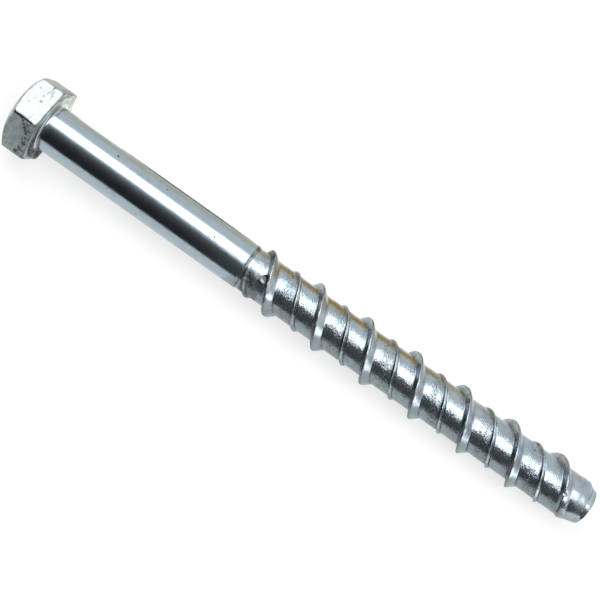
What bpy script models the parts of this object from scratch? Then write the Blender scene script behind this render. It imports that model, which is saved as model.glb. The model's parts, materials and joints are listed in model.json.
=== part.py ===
"""Concrete screw: hexagon head with a washer face, plain shank, coarse rolled thread, blunt tip.

The screw is one piece of cold-formed, zinc-plated steel. It is modelled along its own axis (X,
head at the low end, the bearing face at x = 0) as a single closed skin made of rings of points.
The rings of the head, the shank and the tip are turned outlines or hexagons. The rings of the
threaded part follow the helix instead, so the high thread and the low thread beside it run
through the skin as clean ridges. The screw is then laid down the way it comes to rest on a flat
surface: on the underside of its head and on a crest of the high thread near the tip.

Lengths are metres and angles are radians, unless a name says degrees.
"""

import math

import bpy
from mathutils import Matrix, Vector

# Overall sizes
length_under_head = 0.160

# Hexagon head
across_flats = 0.019
head_height = 0.0080
head_chamfer_circle = 0.0167
head_chamfer_degrees = 33.0
washer_face_diameter = 0.0180
washer_face_height = 0.0003
washer_face_bevel = 0.00015
under_head_fillet = 0.0010

# Plain shank and the rolled shoulder at its end
shank_diameter = 0.01195
shank_length = 0.0579
shoulder_bulge = 0.00012
shoulder_length = 0.0013

# Core under the threads
core_diameter = 0.01140

# High thread, which cuts into the concrete
thread_pitch = 0.0144
first_crest = 0.0610
high_thread_height = 0.00171
high_crest_width = 0.00062
high_back_flank = 0.00050
high_front_flank = 0.00180
high_root_fillet = 0.00030
high_run_in = 0.0040
high_run_out_start = 0.1500
high_run_out = 0.0042

# Low thread, about half a pitch further on
low_thread_offset = 0.00785
low_thread_height = 0.00062
low_crest_width = 0.00020
low_back_flank = 0.00030
low_front_flank = 0.00060
low_root_fillet = 0.00012
low_run_in = 0.0025
low_run_out_start = 0.1500
low_run_out = 0.0075

# Tip
taper_length = 0.0042
tip_diameter = 0.0094
tip_edge_round = 0.0004

# Shares and counts that shape the mesh
columns_per_side = 8
fillet_share_of_height = 0.12
rows_between_threads = 2
fillet_rows = 3
tip_edge_rows = 2
sharp_edge_degrees = 32.0
closest_row = 0.25

hexagon_sides = 6
columns = hexagon_sides * columns_per_side
column_angle = 2 * math.pi / columns

shank_radius = shank_diameter / 2
core_radius = core_diameter / 2
tip_radius = tip_diameter / 2
shoulder_end = shank_length + shoulder_length
taper_start = length_under_head - taper_length
tip_edge_start = length_under_head - tip_edge_round


def smooth_step(share):
    """Rise from 0 to 1 with level ends, for a share of the way that may lie outside 0 to 1."""
    share = min(max(share, 0.0), 1.0)
    return share * share * (3 - 2 * share)


def hexagon_radius(angle):
    """Distance from the axis to the hexagon's outline; the corners are at multiples of 60 degrees."""
    side_angle = 2 * math.pi / hexagon_sides
    from_corner = angle % side_angle
    return across_flats / 2 / math.cos(from_corner - side_angle / 2)


def body_radius(x):
    """Radius of the core and of the tip's taper, without the threads."""
    if x <= taper_start:
        return core_radius
    taper_slope = (core_radius - tip_radius) / (tip_edge_start - taper_start)
    return core_radius - (x - taper_start) * taper_slope


def thread_rows():
    """One pitch of the threads' outline, as (offset from the high crest, height, thread) rows.

    Each thread is a flat crest between two straight flanks, with a short fillet at each root.
    The flank that faces the head is the steep one. Plain rows fill the core between the threads.
    """
    def ridge(thread, centre, height, crest, back, front, fillet):
        share = fillet_share_of_height
        return [
            (centre - crest / 2 - back - fillet, 0.0, thread),
            (centre - crest / 2 - back * (1 - share), height * share, thread),
            (centre - crest / 2, height, thread),
            (centre + crest / 2, height, thread),
            (centre + crest / 2 + front * (1 - share), height * share, thread),
            (centre + crest / 2 + front + fillet, 0.0, thread),
        ]

    def plain_rows(start, end):
        gap = (end - start) / (rows_between_threads + 1)
        return [(start + gap * (count + 1), 0.0, "plain") for count in range(rows_between_threads)]

    high = ridge("high", 0.0, high_thread_height, high_crest_width,
                 high_back_flank, high_front_flank, high_root_fillet)
    low = ridge("low", low_thread_offset, low_thread_height, low_crest_width,
                low_back_flank, low_front_flank, low_root_fillet)
    after_high = plain_rows(high[-1][0], low[0][0])
    after_low = plain_rows(low[-1][0], high[0][0] + thread_pitch)
    return high + after_high + low + after_low


def thread_strength(thread, crest_x):
    """How much of a thread's height stands at a place on its crest: run-in, full height, run-out."""
    if thread == "high":
        rise = (crest_x - shoulder_end) / high_run_in
        fall = (crest_x - high_run_out_start) / high_run_out
        return smooth_step(rise) * (1 - smooth_step(fall))
    if thread == "low":
        rise = (crest_x - shoulder_end) / low_run_in
        fall = (crest_x - low_run_out_start) / low_run_out
        return smooth_step(rise) * (1 - smooth_step(fall))
    return 0.0


class Skin:
    """The screw's outer skin, collected as points on rings about the X axis and faces."""

    def __init__(self):
        self.points = []
        self.faces = []

    def point(self, x, radius, angle):
        """Add a point and return its number."""
        self.points.append((x, radius * math.cos(angle), radius * math.sin(angle)))
        return len(self.points) - 1

    def ring(self, x_at, radius_at):
        """Add a ring whose place and radius are numbers, or functions of the angle."""
        numbers = []
        for column in range(columns):
            angle = column * column_angle
            x = x_at(angle) if callable(x_at) else x_at
            radius = radius_at(angle) if callable(radius_at) else radius_at
            numbers.append(self.point(x, radius, angle))
        return numbers

    def bridge(self, ring, next_ring):
        """Join two rings with a band of faces; the second ring is the one nearer the tip."""
        for column in range(columns):
            beside = (column + 1) % columns
            self.faces.append((ring[column], ring[beside], next_ring[beside], next_ring[column]))

    def chain(self, rings):
        """Join a row of rings, each to the next."""
        for ring, next_ring in zip(rings, rings[1:]):
            self.bridge(ring, next_ring)

    def close_start(self, ring):
        """Close the end that faces the low end of X."""
        self.faces.append(tuple(reversed(ring)))

    def close_end(self, ring):
        """Close the end that faces the high end of X."""
        self.faces.append(tuple(ring))


def add_head(skin):
    """Hexagon head, chamfered on top, with a washer face and a fillet below; return its last ring."""
    chamfer_radius = head_chamfer_circle / 2
    chamfer_slope = math.tan(math.radians(head_chamfer_degrees))
    top = -head_height
    underside = -washer_face_height

    def chamfer_x(angle):
        return top + (hexagon_radius(angle) - chamfer_radius) * chamfer_slope

    rings = [
        skin.ring(top, chamfer_radius),
        skin.ring(chamfer_x, hexagon_radius),
        skin.ring(underside, hexagon_radius),
        skin.ring(underside, washer_face_diameter / 2),
        skin.ring(0.0, washer_face_diameter / 2 - washer_face_bevel),
    ]
    for row in range(fillet_rows + 1):
        turn = math.pi / 2 * row / fillet_rows
        radius = shank_radius + under_head_fillet * (1 - math.sin(turn))
        rings.append(skin.ring(under_head_fillet * (1 - math.cos(turn)), radius))
    skin.close_start(rings[0])
    skin.chain(rings)
    return rings[-1]


def add_shank(skin, last_ring):
    """Plain shank and the rolled shoulder where it steps down to the core; return its last ring."""
    rings = [
        last_ring,
        skin.ring(shank_length, shank_radius),
        skin.ring(shank_length + shoulder_length / 3, shank_radius + shoulder_bulge),
        skin.ring(shoulder_end, core_radius),
    ]
    skin.chain(rings)
    return rings[-1]


def add_threads(skin, first_ring, last_ring, end):
    """Fill the skin between two rings with rows that follow the helix of a right-hand thread.

    Row after row repeats the threads' outline, one pitch further on each time it starts again.
    Along a row the place moves on by one pitch for each turn, so after a full turn a row meets
    the row that lies one outline further on. Rows are cut off at the two rings.
    """
    outline = thread_rows()
    rows = len(outline)
    start = shoulder_end
    tolerance = closest_row * thread_pitch / columns
    known = {}

    def corner(row, column):
        if column == columns:
            return corner(row + rows, 0)
        if (row, column) in known:
            return known[row, column]
        turns, place = divmod(row, rows)
        offset, height, thread = outline[place]
        crest_centre = low_thread_offset if thread == "low" else 0.0
        crest_line = first_crest + thread_pitch * (turns + column / columns)
        x = crest_line + offset
        if x < start + tolerance:
            number = first_ring[column]
        elif x > end - tolerance:
            number = last_ring[column]
        else:
            strength = thread_strength(thread, crest_line + crest_centre)
            radius = body_radius(x) + height * strength
            number = skin.point(x, radius, column * column_angle)
        known[row, column] = number
        return number

    first_turn = math.floor((start - first_crest) / thread_pitch) - 2
    last_turn = math.ceil((end - first_crest) / thread_pitch) + 1
    for row in range(first_turn * rows, last_turn * rows):
        for column in range(columns):
            corners = (corner(row, column), corner(row, column + 1),
                       corner(row + 1, column + 1), corner(row + 1, column))
            face = tuple(dict.fromkeys(corners))
            if len(face) > 2:
                skin.faces.append(face)


def add_tip(skin):
    """Blunt end with its rounded edge; return the ring that the threads reach, and its place."""
    threads_end = max(low_run_out_start + low_run_out, high_run_out_start + high_run_out)
    threads_end = min(max(threads_end, taper_start), tip_edge_start - tip_edge_round)
    rings = [skin.ring(threads_end, body_radius(threads_end))]
    for row in range(tip_edge_rows + 1):
        turn = math.pi / 2 * row / tip_edge_rows
        x = tip_edge_start + tip_edge_round * math.sin(turn)
        rings.append(skin.ring(x, tip_radius - tip_edge_round * (1 - math.cos(turn))))
    skin.chain(rings)
    skin.close_end(rings[-1])
    return rings[0], threads_end


def screw_skin():
    """The whole skin, head first."""
    skin = Skin()
    head_end = add_head(skin)
    shank_end = add_shank(skin, head_end)
    tip_start, threads_end = add_tip(skin)
    add_threads(skin, shank_end, tip_start, threads_end)
    return skin


def resting_place(points):
    """Turn and shift that lay the screw down, with the origin under the middle of its box.

    The head's lower flat ends in an edge at the underside of the head. From that edge the screw
    leans down until the first point nearer the tip touches the surface, which is a crest of the
    high thread.
    """
    lowest = min(z for _, _, z in points)
    edge_x = max(x for x, _, z in points if z < lowest + washer_face_height / 10)
    slope = min((z - lowest) / (x - edge_x) for x, _, z in points if x > edge_x + head_height)
    lean = Matrix.Rotation(math.atan(slope), 4, "Y")
    leaned = [lean @ Vector(point) for point in points]
    low = [min(point[axis] for point in leaned) for axis in range(3)]
    high = [max(point[axis] for point in leaned) for axis in range(3)]
    shift = Vector((-(low[0] + high[0]) / 2, -(low[1] + high[1]) / 2, -low[2]))
    return Matrix.Translation(shift) @ lean


def zinc_plate():
    """Bright zinc plate on steel."""
    material = bpy.data.materials.new("zinc_plate")
    material.use_nodes = True
    shader = material.node_tree.nodes["Principled BSDF"]
    shader.inputs["Base Color"].default_value = (0.66, 0.69, 0.70, 1.0)
    shader.inputs["Metallic"].default_value = 1.0
    shader.inputs["Roughness"].default_value = 0.32
    material.diffuse_color = (0.66, 0.69, 0.70, 1.0)
    return material


def make_screw():
    """Build the screw's object and lay it down."""
    skin = screw_skin()
    mesh = bpy.data.meshes.new("concrete_screw")
    mesh.from_pydata(skin.points, [], skin.faces)
    mesh.materials.append(zinc_plate())
    mesh.shade_smooth()
    mesh.set_sharp_from_angle(angle=math.radians(sharp_edge_degrees))
    screw = bpy.data.objects.new("concrete_screw", mesh)
    screw.matrix_world = resting_place(skin.points)
    bpy.context.scene.collection.objects.link(screw)
    return screw


def clear_scene():
    """Remove every object of the open file."""
    for thing in list(bpy.data.objects):
        bpy.data.objects.remove(thing, do_unlink=True)


def main():
    """Make the part in an empty scene."""
    clear_scene()
    make_screw()
    bpy.context.view_layer.update()


main()
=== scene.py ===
"""Looks of the concrete screw: its fine surface, its zinc plate and a plain studio.

The screw is one piece of cold-formed steel, so the dressed model is one piece too. Its surface is
worked out about its own axis: x runs from the bearing face under the head (x = 0) to the tip, and
the angle turns about x from the row's +Y towards its +Z. The head, the shank, the shoulder and the
tip are rings of points, and the threaded part is a grid whose rows follow the helix. Afterwards the
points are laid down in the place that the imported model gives.
"""

import json
import logging
import math
from dataclasses import dataclass, field
from enum import Enum

import bpy
import numpy as np
from mathutils import Matrix, Vector


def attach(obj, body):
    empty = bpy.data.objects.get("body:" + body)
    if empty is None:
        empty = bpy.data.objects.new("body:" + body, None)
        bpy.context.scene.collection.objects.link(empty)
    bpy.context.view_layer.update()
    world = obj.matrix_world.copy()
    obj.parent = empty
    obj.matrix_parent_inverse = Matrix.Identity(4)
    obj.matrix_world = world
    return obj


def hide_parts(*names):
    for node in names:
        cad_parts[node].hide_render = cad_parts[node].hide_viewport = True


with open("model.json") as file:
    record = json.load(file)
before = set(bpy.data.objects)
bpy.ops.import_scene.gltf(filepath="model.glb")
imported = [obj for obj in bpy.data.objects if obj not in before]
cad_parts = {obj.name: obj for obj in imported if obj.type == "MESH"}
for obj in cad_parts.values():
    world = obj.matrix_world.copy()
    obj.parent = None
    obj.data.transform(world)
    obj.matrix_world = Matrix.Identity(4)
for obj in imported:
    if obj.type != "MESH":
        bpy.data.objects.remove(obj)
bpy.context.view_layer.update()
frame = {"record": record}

Array = np.ndarray
Socket = bpy.types.NodeSocket
Triple = tuple[float, float, float]

MM = 0.001
COLUMNS = 144
EASE_STEPS = 3
SIDE_ANGLE = math.pi / 3

log = logging.getLogger("concrete_screw")


class Region(Enum):
    """Parts of the surface that have a finish of their own; the value is the material's index."""

    HEAD = 0
    SHANK = 1
    THREAD = 2
    TIP = 3


class Mask(Enum):
    """Named weights that the finishes read from the mesh."""

    MATTE = "matte"
    CREST = "crest"
    # Dirt, and painted shade in steps, grooves, roots and dents.
    GRIME = "grime"
    SMOOTH = "smooth"
    TORN = "torn"
    # Painted highlights: a pale colour laid where reflections are painted on.
    BRIGHT = "bright"


def smooth_step(value: Array, low: float, high: float) -> Array:
    """Rise from 0 at low to 1 at high with level ends: s * s * (3 - 2 * s) of the share s.

    Args:
        value: Numbers to look up.
        low: Where the rise starts.
        high: Where the rise ends; it may lie below low, and then the function falls.

    Returns:
        Numbers from 0 to 1.
    """
    share = np.clip((np.asarray(value) - low) / (high - low), 0.0, 1.0)
    return share * share * (3 - 2 * share)


def between(value: Array, start: float, full: float, fade: float, end: float) -> Array:
    """1 from full to fade, falling with eased ends to 0 at start and at end."""
    return smooth_step(value, start, full) * smooth_step(value, end, fade)


def bell(value: Array, width: float | Array) -> Array:
    """Bell about 0: exp(-(value / width)^2)."""
    return np.exp(-(value / width) ** 2)


def turn_from(angle: Array, degrees: float) -> Array:
    """Turn from a direction to an angle, from -pi to pi."""
    return (angle - math.radians(degrees) + math.pi) % (2 * math.pi) - math.pi


def column_angles() -> Array:
    """Angles of the grid's columns, evenly spaced round the axis."""
    return np.arange(COLUMNS) * 2 * math.pi / COLUMNS


def uneven(points: Array, cell: float, seed: int, size: int = 32) -> Array:
    """Smooth random field in space, the same each run.

    Random numbers sit on the corners of a cubic lattice. Between them the value is blended with
    weights s * s * (3 - 2 * s) along each axis.

    Args:
        points: Array (..., 3) in metres.
        cell: Spacing of the lattice in millimetres.
        seed: Number that picks the field.
        size: Cells along each axis before the field repeats.

    Returns:
        Array (...) of numbers from -1 to 1.
    """
    table = np.random.default_rng(seed).uniform(-1, 1, (size,) * 3)
    place = points / (cell * MM)
    base = np.floor(place).astype(int)
    share = place - base
    share = share * share * (3 - 2 * share)
    total = np.zeros(points.shape[:-1])
    for corner in range(8):
        bits = [corner >> axis & 1 for axis in range(3)]
        index = tuple((base[..., axis] + bits[axis]) % size for axis in range(3))
        weight = math.prod(share[..., axis] if bits[axis] else 1 - share[..., axis] for axis in range(3))
        total += weight * table[index]
    return total


def eased_outline(corners: Array, eases: list[float], steps: list[int],
                  bends: dict[int, int] | None = None) -> Array:
    """Rows along an outline whose corners are eased.

    Each run between two corners is straight. Near a corner the outline leaves the run at the
    ease's distance and follows the curve (1-t)^2 A + 2t(1-t) P + t^2 C, where P is the corner
    and A and C are the points on the two runs.

    Args:
        corners: Array (corner, ..., 2) of outline points, which may vary with the angle.
        eases: Distance from each corner at which the curve starts; the ends have 0.
        steps: Number of rows on each straight run.
        bends: Number of rows on the curve at a corner, where it isn't EASE_STEPS.

    Returns:
        Array (row, ..., 2) from the first corner up to the last one.
    """
    def toward(start: Array, goal: Array, distance: float) -> Array:
        length = np.linalg.norm(goal - start, axis=-1, keepdims=True)
        return start + (goal - start) * np.minimum(distance / length, 0.48)

    rows = []
    last = len(corners) - 1
    for number in range(last):
        leave = toward(corners[number], corners[number + 1], eases[number])
        enter = toward(corners[number + 1], corners[number], eases[number + 1])
        for step in range(steps[number]):
            rows.append(leave + (enter - leave) * step / steps[number])
        if number + 1 < last:
            after = toward(corners[number + 1], corners[number + 2], eases[number + 1])
            bend = (bends or {}).get(number + 1, EASE_STEPS)
            for t in np.arange(bend) / bend:
                rows.append((1 - t) ** 2 * enter + 2 * t * (1 - t) * corners[number + 1] + t * t * after)
    rows.append(corners[last])
    return np.stack(rows)


@dataclass(frozen=True)
class Places:
    """Places on the skin: x along the axis, radius out from it and angle about it."""

    x: Array | float
    radius: Array | float
    angle: Array | float

    @property
    def degrees(self) -> Array:
        """The angle in degrees."""
        return np.degrees(self.angle)

    @property
    def points(self) -> Array:
        """Array (..., 3) of points (x, radius * cos(angle), radius * sin(angle))."""
        x, radius, angle = np.broadcast_arrays(self.x, self.radius, self.angle)
        return np.stack([x, radius * np.cos(angle), radius * np.sin(angle)], axis=-1)


@dataclass(frozen=True)
class Dent:
    """A round dent or bump with a bell-shaped section; its lengths are in millimetres."""

    x: float
    degrees: float
    width: float
    height: float
    stretch: float = 1.0

    def at(self, places: Places) -> Array:
        """Height that the dent adds: height * exp(-(distance / width)^2), in metres."""
        along = (places.x - self.x * MM) / (self.width * MM * self.stretch)
        across = turn_from(places.angle, self.degrees) * places.radius / (self.width * MM)
        return self.height * MM * np.exp(-along ** 2 - across ** 2)


@dataclass(frozen=True)
class Placement:
    """Where the screw lies in the row's frame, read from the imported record's mounts."""

    origin: Vector
    axis: Vector

    @classmethod
    def from_record(cls, head_height: float) -> "Placement":
        """Find the axis from the bearing face, and the origin half way between two flats.

        Args:
            head_height: Distance from the head's top to the bearing face.

        Returns:
            The placement of x = 0 and of the axis.
        """
        mounts = {mount["name"]: mount for mount in frame["record"]["mounts"]}
        axis = Vector(mounts["bearing_face"]["axis"]).normalized()
        upper, lower = (Vector(mounts[f"wrench_flat_{way}"]["pos_m"]) for way in ("up", "down"))
        return cls((upper + lower) / 2 + axis * head_height / 2, axis)

    def matrix(self) -> Matrix:
        """Turn about Y that lays the axis down, then the shift to the origin."""
        lean = math.atan2(-self.axis.z, self.axis.x)
        return Matrix.Translation(self.origin) @ Matrix.Rotation(lean, 4, "Y")

    def lay(self, points: Array) -> Array:
        """Carry an array (..., 3) of points from the screw's own frame into the row's frame."""
        matrix = np.array(self.matrix())
        return points @ matrix[:3, :3].T + matrix[:3, 3]

    def at(self, x: float, radius: float, degrees: float) -> Vector:
        """One point of the surface in the row's frame."""
        return Vector(self.lay(Places(x, radius, math.radians(degrees)).points))


@dataclass
class Surface:
    """Points, faces and masks of the whole skin, collected grid by grid."""

    points: list = field(default_factory=list)
    faces: list = field(default_factory=list)
    regions: list = field(default_factory=list)
    masks: dict = field(default_factory=lambda: {mask: [] for mask in Mask})
    count: int = 0

    def add(self, points: Array, **masks: Array) -> Array:
        """Add a grid of points.

        Args:
            points: Array (..., 3).
            masks: Weights by mask name, of the grid's shape; those left out are 0.

        Returns:
            The points' numbers, of the grid's shape.
        """
        shape = points.shape[:-1]
        numbers = np.arange(self.count, self.count + math.prod(shape)).reshape(shape)
        self.points.append(points.reshape(-1, 3))
        for mask in Mask:
            self.masks[mask].append(np.broadcast_to(masks.get(mask.value, 0.0), shape).ravel())
        self.count += numbers.size
        return numbers

    def skin(self, numbers: Array, region: Region, closed: bool = True) -> None:
        """Cover a grid of point numbers with faces.

        A cell is a four-sided face, or a triangle where two of its points are the same.

        Args:
            numbers: Array (row, column).
            region: Finish of the faces.
            closed: Whether the last column meets the first one.
        """
        if closed:
            numbers = np.concatenate([numbers, numbers[:, :1]], axis=1)
        a, b = numbers[:-1, :-1], numbers[:-1, 1:]
        d, c = numbers[1:, :-1], numbers[1:, 1:]
        cells = np.stack([a, b, c, d], axis=-1)
        self._keep(cells[(a != d) & (b != c)], region)
        self._keep(cells[(a == d) & (b != c)][:, [0, 1, 2]], region)
        self._keep(cells[(a != d) & (b == c)][:, [0, 1, 3]], region)

    def close(self, ring: Array, pole: Array, region: Region, forward: bool) -> None:
        """Close a ring with triangles to a pole's point; forward says that the end faces the tip's way."""
        beside = np.roll(ring, -1)
        centre = np.full_like(ring, self.add(pole[None, :])[0])
        order = (centre, ring, beside) if forward else (centre, beside, ring)
        self._keep(np.stack(order, axis=-1), region)

    def _keep(self, faces: Array, region: Region) -> None:
        """Store faces with their finish."""
        self.faces.extend(faces.tolist())
        self.regions.extend([region.value] * len(faces))


@dataclass
class Head:
    """Hexagon head with a chamfered top, a washer face and the fillet to the shank."""

    across_flats: float = 19.0 * MM
    height: float = 8.0 * MM
    chamfer_circle: float = 16.7 * MM
    chamfer_degrees: float = 33.0
    corner_round: float = 0.35 * MM
    washer_radius: float = 9.0 * MM
    washer_height: float = 0.3 * MM
    washer_bevel: float = 0.15 * MM
    fillet: float = 1.0 * MM
    shank_radius: float = 5.975 * MM
    corner_crowding: float = 0.78
    # Strength of the dark corner lines, the much darker corner, and the corner by which the washer face's
    # painted shade gathers.
    corner_darkness: float = 0.9
    darkest_corner: float = 120.0
    shaded_corner: float = 240.0
    far_flat: float = 30.0
    dish: float = 0.06 * MM
    # Middle line and width of the painted highlight's crescent, by angle.
    crescent_line: tuple = ((90, 7.1, 0.5), (120, 6.85, 0.48), (142, 6.60, 0.35), (160, 6.47, 0.30),
                            (190, 6.38, 0.27))

    def outline_radius(self, angle: Array) -> Array:
        """Distance to the hexagon's outline, whose corners are arcs of corner_round.

        On a flat it is half the width across flats over the cosine of the angle from the flat's
        middle. Near a corner it is the far crossing of the line of sight with the corner's arc.
        """
        half = self.across_flats / 2
        half_side = SIDE_ANGLE / 2
        from_corner = (angle + half_side) % SIDE_ANGLE - half_side
        flat = half / np.cos(half_side - np.abs(from_corner))
        centre = (half - self.corner_round) / math.cos(half_side)
        reach = self.corner_round ** 2 - (centre * np.sin(from_corner)) ** 2
        arc = centre * np.cos(from_corner) + np.sqrt(np.maximum(reach, 0.0))
        contact = half_side - math.atan(centre * math.sin(half_side) / half)
        return np.where(np.abs(from_corner) < contact, arc, flat)

    def chamfer_end(self, angle: Array) -> Array:
        """Place where the chamfer meets the sides: its slope times its reach past the circle."""
        reach = self.outline_radius(angle) - self.chamfer_circle / 2
        return reach * math.tan(math.radians(self.chamfer_degrees)) - self.height

    def add(self, surface: Surface) -> Array:
        """Add the head from its top to the end of the fillet.

        The outline in the plane of the axis runs from the middle of the top over the chamfer, down
        the flat and along the underside. The columns crowd towards the hexagon's corners:
        angle - crowding * sin(6 * angle) / 6, and even out again on the washer face.

        Args:
            surface: The skin to add to.

        Returns:
            Numbers of the last ring.
        """
        even = column_angles()
        sides = 2 * math.pi / SIDE_ANGLE
        crowded = even - self.corner_crowding * np.sin(sides * even) / sides
        hexagon = self.outline_radius(crowded)
        fillet_edge = self.shank_radius + self.fillet
        corners = np.stack([np.stack(np.broadcast_arrays(x, radius, even)[:2], axis=-1) for x, radius in (
            (self.dish - self.height, 0.2 * MM),
            (-self.height, self.chamfer_circle / 2),
            (self.chamfer_end(crowded), hexagon),
            (-self.washer_height, hexagon),
            (-self.washer_height, self.washer_radius),
            (0.0, self.washer_radius - self.washer_bevel),
            (0.0, fillet_edge),
            (0.0, self.shank_radius),
            (self.fillet * 1.3, self.shank_radius),
        )])
        eases = [0.0, 0.5 * MM, 0.22 * MM, 0.28 * MM, 0.10 * MM, 0.10 * MM, 0.1 * MM, self.fillet, 0.0]
        rows = eased_outline(corners, eases, [7, 3, 18, 2, 1, 9, 1, 1], {7: 8})
        x, radius = rows[..., 0], rows[..., 1]
        hexagonal = smooth_step(radius.min(axis=1), self.washer_radius + 0.02 * MM, self.across_flats / 2)
        angle = even + (crowded - even) * hexagonal[:, None]
        on_flat = np.isclose(radius, hexagon[None, :], atol=0.3 * MM)
        places = self.worn(Places(x, radius, angle), on_flat)
        upper = smooth_step(np.abs(places.degrees - 90), 34, 28)
        # The crescent's weight is a painted highlight.
        numbers = surface.add(places.points, matte=on_flat * (1 - upper),
                              grime=self.grime(places, on_flat), bright=self.painted_crescent(places))
        washer_end = int(np.flatnonzero(rows[:, 0, 1] > fillet_edge)[-1]) + 1
        surface.skin(numbers[:washer_end + 1], Region.HEAD)
        surface.skin(numbers[washer_end:], Region.SHANK)
        surface.close(numbers[0], np.array([self.dish - self.height, 0.0, 0.0]), Region.HEAD, forward=False)
        return numbers[-1]

    def worn(self, places: Places, on_flat: Array) -> Places:
        """Low waves, pits and shear lines of a forged head.

        Args:
            places: Places on the skin.
            on_flat: True where the point is on a side of the hexagon.

        Returns:
            The new places.
        """
        x, points = places.x, places.points
        waves = uneven(points, 2.6, 11) * 0.010 * MM + uneven(points, 0.9, 12) * 0.005 * MM
        shear = np.sin(x / (0.42 * MM) * 2 * math.pi + 3 * uneven(points, 1.8, 13))
        waves += shear * smooth_step(x, -3.2 * MM, -1.2 * MM) * 0.004 * MM
        lift = np.where(on_flat, np.minimum(waves, 0.004 * MM) - 0.006 * MM, 0.0)
        on_top = (places.radius < self.chamfer_circle / 2) & (x < -self.height / 2)
        sink = np.where(on_top, np.abs(uneven(points, 1.7, 14)) * 0.02 * MM, 0.0)
        return Places(x + sink, places.radius + lift, places.angle)

    def painted_crescent(self, places: Places) -> Array:
        """Weight of the painted highlight, a crescent that runs from the washer face down into the fillet.

        It is a bell across its middle line. Its radius and its width fall with the angle.
        """
        angles, middles, widths = zip(*self.crescent_line)
        middle, width = (np.interp(places.degrees, angles, column) * MM for column in (middles, widths))
        ends = between(places.degrees, 84, 100, 184, 196)
        return bell(places.radius - middle, width) * ends * (places.x > -1.5 * self.washer_height)

    def grime(self, places: Places, on_flat: Array) -> Array:
        """Painted shade in the step of the washer face and on the washer face, dark lines round the
        flats and on the hexagon's corners.

        One corner is much darker than the others. The painted shade on the washer face lies on its half
        towards -Y and by the corner at 240 degrees, and the far flat is a little darker.

        Args:
            places: Places on the skin.
            on_flat: True where the point is on a side of the hexagon.

        Returns:
            Weights from 0 to 2.
        """
        x, radius, angle = places.x, places.radius, places.angle
        washer = self.washer_radius
        below = (x > -1.5 * self.washer_height) & ~on_flat
        # Painted shade in the step at the washer face's edge.
        step = bell(radius - washer - 0.05 * MM, 0.14 * MM) * 0.5
        blotch = 1 + 0.4 * uneven(places.points, 1.1, 16)
        # Painted shade on the washer face: its half towards -Y and by the corner at 240 degrees.
        washer_shade = between(radius, self.shank_radius, self.shank_radius + 0.10 * MM,
                        washer - 0.22 * MM, washer + 0.02 * MM)
        washer_shade = washer_shade * between(places.degrees, 92, 132, 255, 278) * 1.15
        hidden = smooth_step(np.abs(angle - math.radians(self.shaded_corner)), 0.36, 0.22)
        hidden = hidden * smooth_step(radius, washer - 0.3 * MM, washer)
        washer_shade = np.maximum(washer_shade, hidden) * blotch
        from_corner = ((angle + SIDE_ANGLE / 2) % SIDE_ANGLE - SIDE_ANGLE / 2) * radius
        patchy = 0.75 + 0.5 * uneven(places.points, 1.5, 15)
        near = smooth_step(np.abs(angle - math.radians(self.darkest_corner)), 0.2, 0.1)
        near = near * smooth_step(x, -0.9 * MM, -1.7 * MM)
        corner = bell(from_corner, (0.15 + 0.08 * near) * MM) * patchy * self.corner_darkness * (1 + 3 * near)
        edges = bell(x - self.chamfer_end(angle), 0.14 * MM) * 0.10
        edges = edges + bell(x + 1.3 * self.washer_height, 0.15 * MM) * 0.6
        far_side = smooth_step(np.abs(angle - math.radians(self.far_flat)), 0.5, 0.4) * 0.10
        return np.clip((step + washer_shade) * below + (corner + edges + far_side) * on_flat, 0, 2)


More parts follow.
